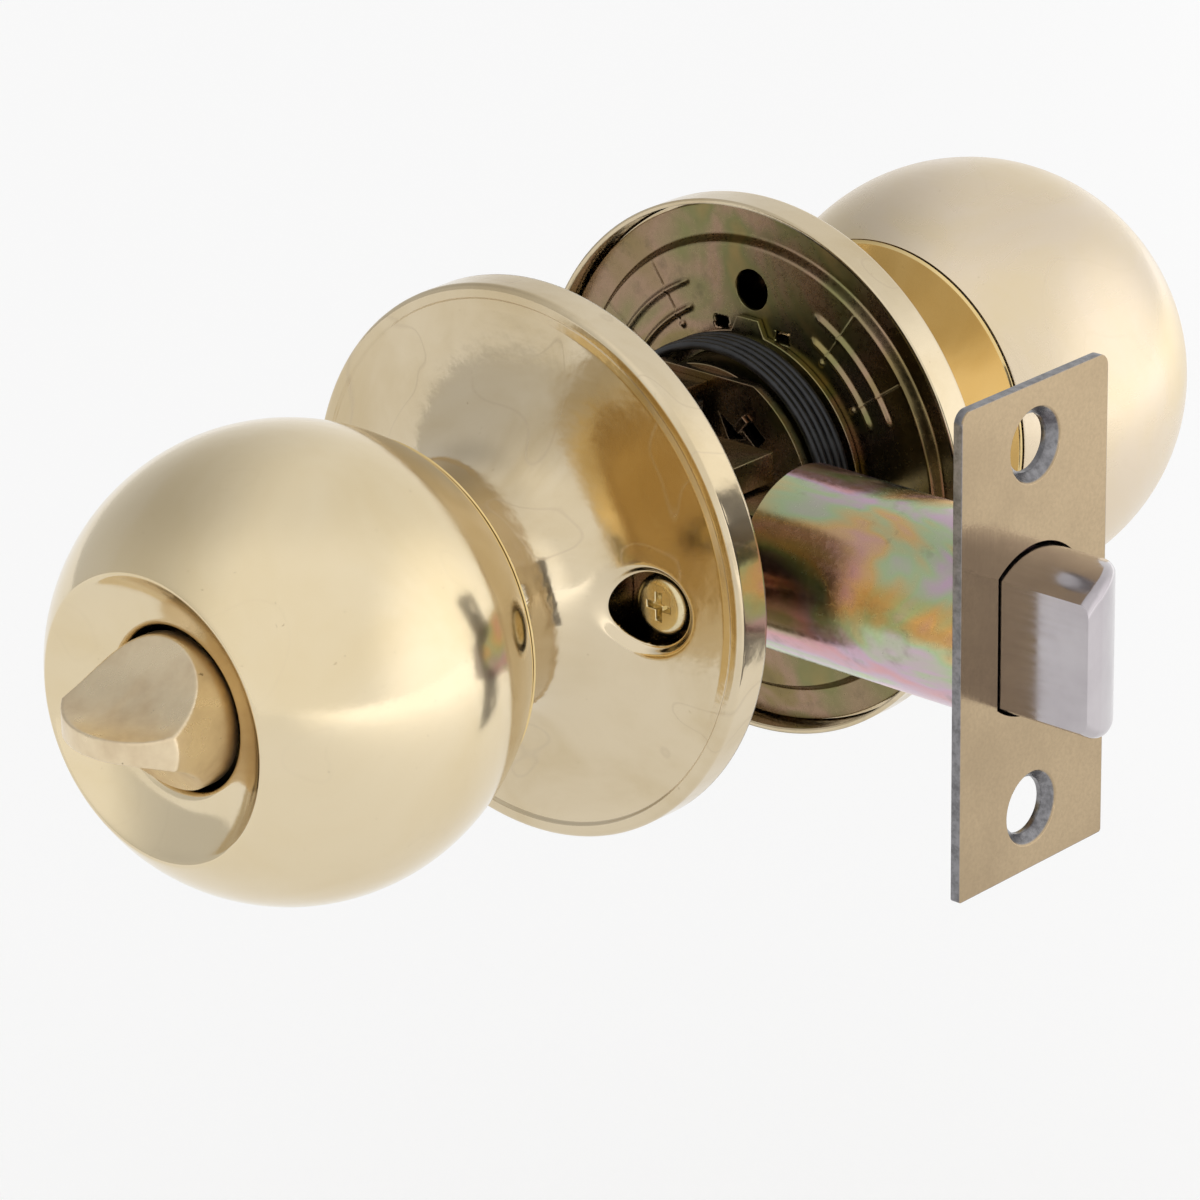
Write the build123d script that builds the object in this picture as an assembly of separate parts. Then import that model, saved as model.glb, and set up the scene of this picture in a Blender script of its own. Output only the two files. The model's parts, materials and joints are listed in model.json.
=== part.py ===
from build123d import *
import math
import os

# Tubular privacy knob set, millimetres. Y is the knob axis and +Y the outside of the door.
# X is the latch axis, +X towards the door's edge. The origin is where the two axes cross,
# in the middle of the door. "depth" below is the distance from the door's mid-plane.

# Door and latch bore
door_half = 17.26
latch_backset = 56.0

# Ball knob
ball_radius = 26.5
ball_depth = 58.7
shell_wall = 0.9
dish_rim_radius = 16.2
dish_hole_radius = 9.1
dish_hole_depth = 76.0
dish_sagitta = 0.7
dish_lip_radius = 1.0
dish_well_depth = 73.4
shell_mouth_radius = 21.15

# Neck cup between the rose and the ball
neck_radius = 11.6
neck_lip_radius = 20.9
neck_lip_depth = 42.1
neck_flare_length = 2.3
neck_foot_depth = 26.5
neck_wall = 0.6
neck_bead = 0.2

# Rose
rose_radius = 32.5
rose_band_depth = 21.6
rose_wall = 0.6
rose_corner = 0.75
rose_dome_radius = 29.6
rose_dome_depth = 21.15
rose_throat_radius = 12.85
rose_flare_length = 2.7
rose_top_depth = 35.0
ledge_radius = 30.7
ledge_depth = 21.25
access_hole_radius = 4.4
access_hole_near = 20.8
access_hole_far = 29.0
screw_offset = 20.3

# Liner plate inside the rose
liner_radius = 31.4
liner_wall = 0.6
liner_ring_depth = 19.7
liner_step_radius = 27.4
liner_face_depth = 18.4
liner_top_hole_radius = 2.5
liner_top_hole_height = 21.8

# Hub, collar, torsion spring and end plate
hub_radius = 14.5
hub_wall = 1.0
hub_depth = 24.8
collar_radius = 16.8
collar_wall = 0.9
collar_tab_height = 18.6
spring_wire = 1.0
spring_radius = 16.45
spring_turns = 4.75
spring_pitch = 1.03
spring_start = 11.8
plate_depth = 10.0
plate_wall = 1.2
plate_radius = 15.8
plate_flat = 14.0

# Rotating parts
sleeve_radius = 8.0
sleeve_wall = 1.2
sleeve_start = 12.0
sleeve_end = 62.0
spindle_radius = 4.0
spindle_bore = 2.6
spindle_half = 13.2
cam_reach = 11.3
cam_half_width = 1.0
cam_near = 5.5
cam_far = 8.5
running_gap = 0.05
core_outer = 9.2
core_flange_depth = 44.2
core_flange_radius = 21.0
core_end = 60.0
sheet_wall = 1.0

# Lock parts
button_radius = 8.7
button_base_depth = 75.0
button_tip_depth = 88.6
button_crest_half = 1.3
button_scoop_radius = 13.2
button_scoop_depth = 88.6
button_side_radius = 10.6
button_side_depth = 78.0
shank_radius = 3.9
shank_start = 57.5
bush_depth = 62.0
bar_width = 4.6
bar_thickness = 1.6
bar_half = 66.0
coin_slot_width = 1.6
coin_slot_depth = 1.5
plug_top_depth = 77.4

# Latch
plate_width = 25.4
plate_height = 57.2
plate_thickness = 1.2
plate_top_corner = 1.6
plate_bottom_corner = 0.4
plate_hole_offset = 21.4
plate_hole_radius = 3.3
countersink_radius = 4.4
countersink_depth = 1.2
dimple_depth = 1.9
dimple_wall = 0.8
plate_recess = 0.4
slot_radius = 9.9
slot_flat = 6.2
bolt_radius = 9.55
bolt_flat = 5.95
bolt_tip = 68.0
bolt_back = 38.0
bolt_nose = 2.35
bevel_middle = (65.6, 1.9)
bevel_end = (56.6, 7.3)
bolt_rim = 1.2
tube_radius = 10.9
tube_bore = 9.9
tube_start = 22.6
tail_inner = 4.4
tail_wall = 1.2
tail_half_width = 4.5
tail_hook_x = 12.6
tail_hook_top = 8.1
tail_end = 41.0
tail_bridge = 3.5

# Retractor and the frame that it slides in
retractor_back = -5.2
retractor_face = -1.1
retractor_half_height = 11.0
retractor_half_depth = 9.0
retractor_arm_inner = 8.4
retractor_arm_half_width = 4.2
retractor_lip_x = 14.1
retractor_lip_inner = 6.0
frame_inner = 12.1
frame_wall = 1.1
frame_left = -8.5
frame_right = 0.5

# Fixings
screw_radius = 2.0
screw_head_radius = 3.6
screw_head_height = 2.4
screw_end = 13.5
post_radius = 2.65
post_end = 4.0
screw_clearance = 0.3


def sphere_depth(radius, ball):
    """Depth of a ball's far surface at a distance from the knob axis."""
    return ball_depth + math.sqrt(ball ** 2 - radius ** 2)


def turned(edges):
    """Solid of revolution about the knob axis, from edges in (radius, depth)."""
    return revolve(make_face(edges), Axis.Y)


def ring(inner, outer, near, far):
    """Plain ring about the knob axis between two depths."""
    corners = [(inner, near), (outer, near), (outer, far), (inner, far)]
    return turned([Polyline(*corners, close=True)])


def disc(radius, near, far):
    """Plain round bar on the knob axis between two depths."""
    return ring(0, radius, near, far)


def block(x, y, z):
    """Box from its low and high values along each axis."""
    size = [high - low for low, high in (x, y, z)]
    middle = [(high + low) / 2 for low, high in (x, y, z)]
    return Pos(*middle) * Box(*size)


def rod_along_y(radius, x, z, near, far):
    """Round bar parallel to the knob axis."""
    turn = Rot(-90, 0, 0)
    return Pos(x, (near + far) / 2, z) * turn * Cylinder(radius, abs(far - near))


def rod_along_x(radius, near, far):
    """Round bar on the latch axis."""
    return Pos((near + far) / 2, 0, 0) * Rot(0, 90, 0) * Cylinder(radius, far - near)


def inside(part):
    """The same part on the inside of the door."""
    return mirror(part, about=Plane.XZ)


def horn(throat, reach, start, length, near, far, samples=14):
    """Trumpet line in (radius, depth): radius is throat + reach * exp((start - depth) / length)."""
    points = []
    for step in range(samples + 1):
        share = step / samples
        if length < 0:
            share = 1 - (1 - share) ** 1.8
        else:
            share = share ** 1.8
        depth = near + (far - near) * share
        points.append((throat + reach * math.exp((start - depth) / length), depth))
    slopes = [(point[0] - throat) / -length for point in (points[0], points[-1])]
    ends = [(slope, 1) for slope in slopes]
    return Spline(*points, tangents=[(x / math.hypot(x, y), y / math.hypot(x, y)) for x, y in ends])


def parallel(curve, distance, samples=24):
    """Smooth curve at a constant distance to the right of another one."""
    points = []
    for step in range(samples + 1):
        here = curve @ (step / samples)
        along = curve % (step / samples)
        points.append((here.X + along.Y * distance, here.Y - along.X * distance))
    return Spline(*points)


def knob_shell():
    """Hollow ball with a dished front, open at the neck, and a lipped well at the dish's centre."""
    bore = ball_radius - shell_wall
    rim = (dish_rim_radius, sphere_depth(dish_rim_radius, ball_radius))
    inner_rim = (dish_rim_radius, sphere_depth(dish_rim_radius, bore))
    mouth = (shell_mouth_radius, 2 * ball_depth - sphere_depth(shell_mouth_radius, ball_radius))
    inner_mouth = (shell_mouth_radius, 2 * ball_depth - sphere_depth(shell_mouth_radius, bore))
    hole = (dish_hole_radius + dish_lip_radius, dish_hole_depth)
    bend = dish_lip_radius * (1 - math.sqrt(0.5))
    well = (dish_hole_radius, dish_hole_depth - dish_lip_radius)
    inner_hole = (dish_hole_radius + shell_wall, dish_hole_depth - shell_wall)
    return turned([
        ThreePointArc(mouth, (ball_radius, ball_depth), rim),
        SagittaArc(rim, hole, dish_sagitta),
        ThreePointArc(hole, (dish_hole_radius + bend, dish_hole_depth - bend), well),
        Polyline(well, (dish_hole_radius, dish_well_depth), (inner_hole[0], dish_well_depth), inner_hole),
        SagittaArc(inner_hole, inner_rim, -dish_sagitta),
        ThreePointArc(inner_rim, (bore, ball_depth), inner_mouth),
        Line(inner_mouth, mouth),
    ])


def neck_line():
    """Outside of the neck cup: a straight throat that flares on to the ball."""
    reach = neck_lip_radius - neck_radius
    near = neck_foot_depth + 1.5
    return horn(neck_radius, reach, neck_lip_depth, -neck_flare_length, near, neck_lip_depth)


def knob_neck():
    """Flared cup with a beaded lip and a closed foot that grips the sleeve."""
    cup = neck_line()
    back = parallel(cup, -neck_wall)
    edge = (neck_radius - 0.8, neck_foot_depth)
    inner_top = neck_foot_depth + neck_wall
    lip = cup @ 1
    inner_lip = back @ 1
    bead = ((lip.X + inner_lip.X) / 2 + neck_bead + 0.1, (lip.Y + inner_lip.Y) / 2)
    return turned([
        Polyline((sleeve_radius, neck_foot_depth), edge, cup @ 0),
        cup,
        ThreePointArc(lip, bead, inner_lip),
        back,
        Polyline(back @ 0, (neck_radius - neck_wall, inner_top + 0.5), (neck_radius - 1.1, inner_top),
                 (sleeve_radius, inner_top), (sleeve_radius, neck_foot_depth)),
    ])


def knob_core():
    """Pressed boss that joins the ball to the sleeve, with a flange behind the ball's mouth."""
    boss = ring(sleeve_radius, core_outer, core_flange_depth, core_end)
    flange = ring(core_outer, core_flange_radius, core_flange_depth, core_flange_depth + sheet_wall)
    return boss + flange


def spindle_sleeve():
    """Tube that carries the knob, closed at the door end but for the drive spindle's hole."""
    tube = ring(sleeve_radius - sleeve_wall, sleeve_radius, sleeve_start, sleeve_end)
    end_wall = ring(spindle_radius + running_gap, sleeve_radius, sleeve_start, sleeve_start + sleeve_wall)
    return tube + end_wall


def knob_bush():
    """Flanged plastic bush in the sleeve's outer end, for the button's or plug's shank."""
    bore = shank_radius + running_gap
    spigot = ring(bore, sleeve_radius - sleeve_wall, shank_start + 1.0, bush_depth)
    flange = ring(bore, sleeve_radius + 0.6, bush_depth, bush_depth + 1.4)
    return spigot + flange


def rose_line():
    """Outside of the rose's dome: a trumpet from the ledge up to the neck opening."""
    reach = rose_dome_radius - rose_throat_radius
    return horn(rose_throat_radius, reach, rose_dome_depth, rose_flare_length, rose_dome_depth, rose_top_depth)


def rose():
    """Trumpet-shaped cover with a flat rim band, a fine step and a narrow ledge inside the band."""
    dome = rose_line()
    back = parallel(dome, -rose_wall)
    top = rose_band_depth
    bevel = rose_corner * (1 - math.sqrt(0.5))
    side = (rose_radius, top - rose_corner)
    shoulder = (rose_radius - rose_corner, top)
    inner_rim = rose_radius - rose_wall
    inner_top = top - rose_wall
    return turned([
        Polyline((inner_rim, door_half), (rose_radius, door_half), side),
        ThreePointArc(side, (rose_radius - bevel, top - bevel), shoulder),
        Polyline(shoulder, (ledge_radius + 0.3, top), (ledge_radius, ledge_depth), dome @ 0),
        dome,
        Line(dome @ 1, back @ 1),
        back,
        Polyline(back @ 0, (ledge_radius + 0.2, ledge_depth - rose_wall), (ledge_radius + 0.4, inner_top),
                 (inner_rim, inner_top), (inner_rim, door_half)),
    ])


def inside_rose():
    """Rose with two round holes that let a screwdriver reach the mounting screws."""
    body = inside(rose())
    for x in (-screw_offset, screw_offset):
        body -= rod_along_y(access_hole_radius, x, 0, -access_hole_near, -access_hole_far)
    return body


def liner():
    """Dished steel plate behind the rose, with the hub's hole, tab slots and a top hole."""
    face = liner_face_depth
    ring_near = liner_ring_depth
    inner = hub_radius
    step = liner_step_radius
    body = turned([Polyline(
        (inner, face), (step - 0.4, face), (step + 0.4, ring_near), (liner_radius, ring_near),
        (liner_radius, ring_near + liner_wall), (step, ring_near + liner_wall),
        (step - 0.8, face + liner_wall), (inner, face + liner_wall), close=True)])
    body -= rod_along_y(liner_top_hole_radius, 0, liner_top_hole_height, 17.0, 22.0)
    for x in (-4.6, 4.6):
        body -= Pos(x, 19.0, 16.9) * Box(2.2, 4.0, 1.6)
    for x in (-screw_offset, screw_offset):
        body -= rod_along_y(screw_radius + screw_clearance, x, 0, 17.0, 22.0)
    return body


def hub():
    """Tube that stands on the end plate, passes the liner and carries the sleeve's bush."""
    tube = ring(hub_radius - hub_wall, hub_radius, plate_depth + plate_wall, hub_depth)
    rim = ring(sleeve_radius + 2.0, hub_radius, hub_depth - hub_wall, hub_depth)
    return tube + rim


def hub_bush():
    """Plain bearing for the sleeve, held in the hub's rim."""
    bearing = ring(sleeve_radius + running_gap, sleeve_radius + 2.0, hub_depth - 4.0, hub_depth)
    return bearing


def collar_ring():
    """Locking ring that holds the liner on the hub, with a raised tab at the top and side lugs."""
    near = liner_face_depth - collar_wall
    body = ring(hub_radius, collar_radius, near, liner_face_depth)
    tab = Polyline((-3.2, 15.0), (3.2, 15.0), (1.6, collar_tab_height), (-1.6, collar_tab_height), close=True)
    for angle in (0, 120, 240):
        outline = Plane.XZ.offset(-liner_face_depth) * make_face(tab)
        body += Rot(0, angle, 0) * extrude(outline, collar_wall)
    return body


def torsion_spring():
    """Close-wound return spring round the hub, with both ends bent outwards."""
    height = spring_turns * spring_pitch
    coil = Helix(pitch=spring_pitch, height=height, radius=spring_radius)
    section = Plane(origin=coil @ 0, z_dir=coil % 0) * Circle(spring_wire / 2)
    wound = sweep(section, path=coil, is_frenet=True)
    return Pos(0, spring_start, 0) * Rot(-90, 0, 0) * wound


def end_plate():
    """Round end plate of the chassis with flats, two lanced windows and its tabs."""
    near = plate_depth
    far = plate_depth + plate_wall
    body = ring(spindle_radius + 0.4, plate_radius, near, far)
    for low in (plate_flat, -plate_flat - 4.0):
        body -= block((-plate_radius, plate_radius), (near - 1, far + 1), (low, low + 4.0))
    body -= Rot(0, 40, 0) * block((-1.9, 1.9), (near - 1, far + 1), (9.9, 11.9))
    body += Rot(0, 40, 0) * block((-1.9, -0.9), (near - 0.6, near + 0.8), (9.6, 11.7))
    for side in (1, -1):
        window = Polyline((2.2, 9.6), (6.0, 7.2), (3.6, 6.6), close=True)
        cut = extrude(Plane.XZ.offset(-far - 1) * make_face(window), plate_wall + 2)
        body -= cut if side > 0 else Rot(0, 180, 0) * cut
    return body


def chassis_frame():
    """Top and bottom bridges that join the two end plates."""
    body = None
    for low in (frame_inner, -frame_inner - frame_wall):
        bridge = block((frame_left, frame_right), (-plate_depth, plate_depth), (low, low + frame_wall))
        body = bridge if body is None else body + bridge
    return body


def drive_spindle():
    """Hollow spindle right through the chassis, with a pair of cam arms on each side."""
    body = ring(spindle_bore, spindle_radius, -spindle_half, spindle_half)
    for near, far in ((cam_near, cam_far), (-cam_far, -cam_near)):
        arms = block((-cam_half_width, cam_half_width), (near, far), (-cam_reach, cam_reach))
        body += arms - disc(spindle_bore, near - 1, far + 1)
    return body


def retractor_slide():
    """Channel that the cams push back: a back wall, four cam faces and two hooked arms."""
    half = retractor_half_height
    deep = retractor_half_depth
    body = block((retractor_back, retractor_back + 1.0), (-deep, deep), (-half, half))
    for side in (1, -1):
        arm = block((retractor_back, retractor_lip_x + tail_wall),
                    (-retractor_arm_half_width, retractor_arm_half_width),
                    (retractor_arm_inner, retractor_arm_inner + tail_wall))
        lip = block((retractor_lip_x, retractor_lip_x + tail_wall),
                    (-retractor_arm_half_width, retractor_arm_half_width),
                    (retractor_lip_inner, retractor_arm_inner + tail_wall))
        faces = block((retractor_back, retractor_face), (cam_near - 0.3, cam_far + 0.3), (7.0, half))
        upper = arm + lip + faces + mirror(faces, about=Plane.XZ)
        body += upper if side > 0 else mirror(upper, about=Plane.XY)
    return body


def turn_button():
    """Thumb button: a round base that two scoops narrow to a blade, with a shank for the bar."""
    base = disc(button_radius, button_base_depth, button_tip_depth + 1.0)
    for side in (1, -1):
        height = side * (button_crest_half + button_scoop_radius)
        scoop = Pos(0, button_scoop_depth, height) * Rot(0, 90, 0)
        base -= scoop * Cylinder(button_scoop_radius, 4 * button_radius)
    fin = Pos(0, button_side_depth, 0) * Cylinder(button_side_radius, 4 * button_radius)
    shank = disc(shank_radius, shank_start, button_base_depth)
    body = (base & fin) + shank
    return body - lock_bar_outline()


def lock_bar_outline():
    """Flat bar's outline along the knob axis on the outside half."""
    half = bar_thickness / 2
    return block((-half, half), (-bar_half, bar_half), (-bar_width / 2, bar_width / 2))


def lock_cam():
    """Cam on the lock bar that works the locking catch in the inside sleeve."""
    lobe = disc(3.6, 15.0, 18.0) + block((-1.8, 1.8), (15.0, 18.0), (0, 6.2))
    return lobe - lock_bar_outline()


def emergency_plug():
    """Round plug in the outside knob with a coin slot, to unlock from outside."""
    cap = disc(button_radius, button_base_depth, plug_top_depth)
    cap += disc(shank_radius, shank_start, button_base_depth)
    half = coin_slot_width / 2
    slot = block((-5.2, 5.2), (plug_top_depth - coin_slot_depth, plug_top_depth + 1), (-half, half))
    return cap - slot - lock_bar_outline()


def mounting_screws():
    """Two long pan-head screws that pull the inside rose on to the outside posts."""
    body = None
    head_near = -liner_face_depth - liner_wall
    for x in (-screw_offset, screw_offset):
        head = rod_along_y(screw_head_radius, x, 0, head_near - screw_head_height, head_near)
        head = fillet(head.edges().group_by(Axis.Y)[0], 1.0)
        shank = rod_along_y(screw_radius, x, 0, head_near, screw_end)
        screw = head + shank
        for width, depth in ((3.4, 0.8), (0.8, 3.4)):
            screw -= Pos(x, head_near - screw_head_height, 0) * Box(width, 2.4, depth)
        body = screw if body is None else body + screw
    return body


def screw_posts():
    """Two tapped posts riveted to the outside liner."""
    body = None
    for x in (-screw_offset, screw_offset):
        post = rod_along_y(post_radius, x, 0, post_end, liner_face_depth)
        post += rod_along_y(screw_radius + 0.25, x, 0, liner_face_depth, liner_face_depth + liner_wall + 0.6)
        post -= rod_along_y(screw_radius + running_gap, x, 0, post_end - 1, liner_face_depth - 2.0)
        body = post if body is None else body + post
    return body


def d_section(radius, flat, near, far):
    """Round bar on the latch axis with a flat towards the inside of the door."""
    cut = block((near - 1, far + 1), (-2 * radius, -flat), (-2 * radius, 2 * radius))
    return rod_along_x(radius, near, far) - cut


def latch_faceplate():
    """Plate on the door's edge: the bolt's slot, a seat for the tube and two countersunk holes."""
    front = latch_backset
    back = front - plate_thickness
    body = block((back, front), (-plate_width / 2, plate_width / 2), (-plate_height / 2, plate_height / 2))
    rows = body.edges().filter_by(Axis.X).group_by(Axis.Z)
    body = fillet(rows[0], plate_bottom_corner)
    body = fillet(body.edges().filter_by(Axis.X).group_by(Axis.Z)[-1], plate_top_corner)
    body -= d_section(slot_radius, slot_flat, back - 1, front + 1)
    body -= rod_along_x(tube_radius + running_gap, back - 1, back + plate_recess)
    for height in (-plate_hole_offset, plate_hole_offset):
        middle = front - countersink_depth / 2
        place = Pos(middle, 0, height) * Rot(0, 90, 0)
        seat = place * Cone(plate_hole_radius, countersink_radius, countersink_depth)
        place = Pos(front - dimple_depth / 2, 0, height) * Rot(0, 90, 0)
        cup = place * Cylinder(plate_hole_radius + dimple_wall, dimple_depth)
        hole = place * Cylinder(plate_hole_radius, dimple_depth + 2)
        body = body + cup - seat - hole
    return body


def latch_tube():
    """Tube of the latch case, notched at its inner end for the mounting screw."""
    end = latch_backset - plate_thickness + plate_recess
    body = rod_along_x(tube_radius, tube_start, end)
    body -= rod_along_x(tube_bore, tube_start - 1, latch_backset)
    reach = post_radius + 0.4
    notch = block((tube_start - 1, screw_offset + reach), (-2 * tube_radius, 2 * tube_radius), (-reach, reach))
    return body - notch


def tube_end_guide():
    """Disc pressed in the tube's inner end that guides the tail and carries the spring."""
    body = rod_along_x(tube_bore, 24.0, 25.2)
    for side in (1, -1):
        middle = side * (tail_inner + tail_wall / 2)
        body -= Pos(24.6, 0, middle) * Box(4.0, 2 * tail_half_width + 0.7, tail_wall + 0.7)
    return body


def latch_bolt():
    """Sprung bolt: a D-shaped bar with a narrow nose and a curved bevel on its outside face."""
    body = d_section(bolt_radius, bolt_flat, bolt_back, bolt_tip)
    bevel_start = (bolt_tip, bolt_nose - bolt_flat)
    clear = bolt_radius + 2
    beyond = bolt_tip + 2
    bevel = make_face([
        Polyline(bevel_start, (beyond, bevel_start[1]), (beyond, clear), (bevel_end[0], clear), bevel_end),
        ThreePointArc(bevel_end, bevel_middle, bevel_start),
    ])
    body -= extrude(bevel, 2 * bolt_radius, both=True)
    rim = [edge for edge in body.edges() if edge.center().X > latch_backset + 4
           and edge.geom_type != GeomType.LINE]
    body = fillet(rim, bolt_rim)
    pocket = block((bolt_back - 1, tail_end), (-tail_half_width, tail_half_width),
                   (-tail_inner - tail_wall, tail_inner + tail_wall))
    return body - pocket - pin_bar()


def latch_tail():
    """Two strips, joined behind the bolt, that end in outward hooks for the retractor."""
    half = tail_half_width
    outer = tail_inner + tail_wall
    body = block((tail_end - tail_bridge, tail_end), (-half, half), (-outer, outer))
    for side in (1, -1):
        strip = block((tail_hook_x, tail_end), (-half, half), (tail_inner, outer))
        hook = block((tail_hook_x, tail_hook_x + tail_wall), (-3.5, 3.5), (tail_inner, tail_hook_top))
        upper = strip + hook
        body += upper if side > 0 else mirror(upper, about=Plane.XY)
    return body - pin_bar()


def pin_bar():
    """Cross pin through the bolt and the end of its tail."""
    return rod_along_y(1.1, tail_end - 1.6, 0, -bolt_flat, 7.6)


def latch_spring():
    """Compression spring in the tube between the end guide and the bolt."""
    near = 25.2 + 0.5
    length = 36.4 - near
    coil = Helix(pitch=length / 7, height=length, radius=8.0)
    section = Plane(origin=coil @ 0, z_dir=coil % 0) * Circle(0.4)
    return Pos(near, 0, 0) * Rot(0, 90, 0) * sweep(section, path=coil, is_frenet=True)


parts = {
    "inside_knob_shell": inside(knob_shell()),
    "inside_knob_neck": inside(knob_neck()),
    "inside_knob_core": inside(knob_core()),
    "inside_spindle_sleeve": inside(spindle_sleeve()),
    "inside_button_bush": inside(knob_bush()),
    "drive_spindle": drive_spindle(),
    "turn_button": inside(turn_button()),
    "lock_bar": lock_bar_outline(),
    "lock_cam": inside(lock_cam()),
    "emergency_plug": emergency_plug(),
    "inside_rose": inside_rose(),
    "inside_rose_liner": inside(liner()),
    "inside_hub": inside(hub()),
    "inside_hub_bush": inside(hub_bush()),
    "inside_collar_ring": inside(collar_ring()),
    "inside_torsion_spring": inside(torsion_spring()),
    "inside_end_plate": inside(end_plate()),
    "chassis_frame": chassis_frame(),
    "retractor_slide": retractor_slide(),
    "outside_end_plate": end_plate(),
    "outside_torsion_spring": torsion_spring(),
    "outside_collar_ring": collar_ring(),
    "outside_hub": hub(),
    "outside_hub_bush": hub_bush(),
    "outside_rose_liner": liner(),
    "outside_rose": rose(),
    "screw_posts": screw_posts(),
    "mounting_screws": mounting_screws(),
    "outside_spindle_sleeve": spindle_sleeve(),
    "outside_plug_bush": knob_bush(),
    "outside_knob_core": knob_core(),
    "outside_knob_neck": knob_neck(),
    "outside_knob_shell": knob_shell(),
    "latch_faceplate": latch_faceplate(),
    "latch_tube": latch_tube(),
    "tube_end_guide": tube_end_guide(),
    "latch_spring": latch_spring(),
    "latch_bolt": latch_bolt(),
    "latch_tail": latch_tail(),
    "latch_pin": pin_bar(),
}

os.makedirs("parts", exist_ok=True)
for node, solid in parts.items():
    export_step(solid, f"parts/{node}.step")
    print(node, round(solid.volume, 1))
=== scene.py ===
import json
import bmesh
import bpy
import numpy as np
from mathutils import Matrix


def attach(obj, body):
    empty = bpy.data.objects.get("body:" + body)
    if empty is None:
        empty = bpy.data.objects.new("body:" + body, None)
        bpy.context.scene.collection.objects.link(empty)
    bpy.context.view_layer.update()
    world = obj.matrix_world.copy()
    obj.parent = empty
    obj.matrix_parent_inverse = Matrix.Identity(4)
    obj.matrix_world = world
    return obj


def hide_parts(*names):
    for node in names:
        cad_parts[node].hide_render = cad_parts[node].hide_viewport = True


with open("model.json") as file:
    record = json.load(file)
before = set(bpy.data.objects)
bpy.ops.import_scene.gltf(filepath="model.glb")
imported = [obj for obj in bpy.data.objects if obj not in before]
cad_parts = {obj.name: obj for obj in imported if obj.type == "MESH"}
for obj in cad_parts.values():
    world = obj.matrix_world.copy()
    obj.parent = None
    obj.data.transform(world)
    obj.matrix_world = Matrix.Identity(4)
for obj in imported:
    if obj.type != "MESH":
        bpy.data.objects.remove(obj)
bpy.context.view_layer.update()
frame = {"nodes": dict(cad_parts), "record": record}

print("frame loaded:", len(frame["nodes"]), "nodes")

# Everything below is in millimetres until it goes into a mesh.
mm = 0.001
inside, outside = -1, 1       # side of the door, along Y
fullTurn = 2 * np.pi


# Outlines are lines of (radius, depth) points.

def evenly(points, step, closed):
    # The same line with points a constant step apart.
    points = np.asarray(points, float)
    if closed:
        points = np.vstack([points, points[:1]])
    run = np.concatenate([[0], np.cumsum(np.hypot(*np.diff(points, axis=0).T))])
    count = max(int(run[-1] / step), 8)
    at = np.linspace(0, run[-1], count, endpoint=not closed)
    return np.stack([np.interp(at, run, points[:, 0]), np.interp(at, run, points[:, 1])], 1)


def softOutline(corners, blur, count, closed=True, dense=None):
    # A line through corners, rounded by a Gaussian blur of its points along its own length.
    # Points are then picked closer together where it bends, or where dense(radius) says so.
    step = 0.05
    line = evenly(corners, step, closed)
    if not closed:      # straight run-outs keep the two ends in place
        pad = int(6 * blur / step) + 2
        reach = np.arange(pad, 0, -1)[:, None]
        head = line[0] + (line[0] - line[1]) * reach
        tail = line[-1] + (line[-1] - line[-2]) * reach[::-1]
        line = np.vstack([head, line, tail])
    wave = np.fft.rfftfreq(len(line), step)
    damp = np.exp(-2 * (np.pi * wave * blur) ** 2)[:, None]
    soft = np.fft.irfft(np.fft.rfft(line, axis=0) * damp, len(line), axis=0)
    if not closed:
        soft = soft[pad:-pad]
    bend = np.hypot(*(np.roll(soft, -1, 0) - 2 * soft + np.roll(soft, 1, 0)).T) / step ** 2
    if not closed:
        bend[[0, -1]] = 0
    weight = 1 + 3.5 * np.minimum(np.sqrt(bend), 2.5)
    if dense is not None:
        weight = weight * dense(soft[:, 0])
    total = np.cumsum(weight)
    at = np.linspace(total[0], total[-1], count, endpoint=not closed)
    index = np.interp(at, total, np.arange(len(soft)))
    return np.stack([np.interp(index, np.arange(len(soft)), soft[:, k]) for k in (0, 1)], 1)


def arc(centre, radius, start, end, count=60):
    # Points of a circle from one angle to another, in degrees.
    angle = np.radians(np.linspace(start, end, count))
    return np.stack([centre[0] + radius * np.cos(angle), centre[1] + radius * np.sin(angle)], 1)


# Meshes made from grids of points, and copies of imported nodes.

def gridFaces(rows, columns, wrapRows, wrapColumns):
    # Quads between neighbouring points of a grid, as an array of corner numbers.
    i = np.arange(rows if wrapRows else rows - 1)
    j = np.arange(columns if wrapColumns else columns - 1)
    i, j = np.meshgrid(i, j, indexing="ij")
    nextRow, nextColumn = (i + 1) % rows, (j + 1) % columns
    corners = [i * columns + j, nextRow * columns + j,
               nextRow * columns + nextColumn, i * columns + nextColumn]
    return np.stack(corners, -1).reshape(-1, 4)


def facingOut(points, faces):
    # Turns all faces round if the closed surface's signed volume is negative.
    a, b, c, d = (points[faces[:, k]] for k in range(4))
    volume = np.einsum("ij,ij->i", a, np.cross(b, c)).sum() + np.einsum("ij,ij->i", a, np.cross(c, d)).sum()
    return faces[:, ::-1] if volume < 0 else faces


def piece(name, points, faces, body, material, replaced):
    # Puts points (mm) and faces into a mesh object that rides on a body.
    mesh = bpy.data.meshes.new(name)
    mesh.from_pydata((np.asarray(points) * mm).tolist(), [], np.asarray(faces).tolist())
    mesh.polygons.foreach_set("use_smooth", np.ones(len(mesh.polygons), bool))
    mesh.update()
    made = bpy.data.objects.new(name, mesh)
    bpy.context.scene.collection.objects.link(made)
    mesh.materials.append(material)
    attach(made, body)
    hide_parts(*replaced)
    return made


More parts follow.
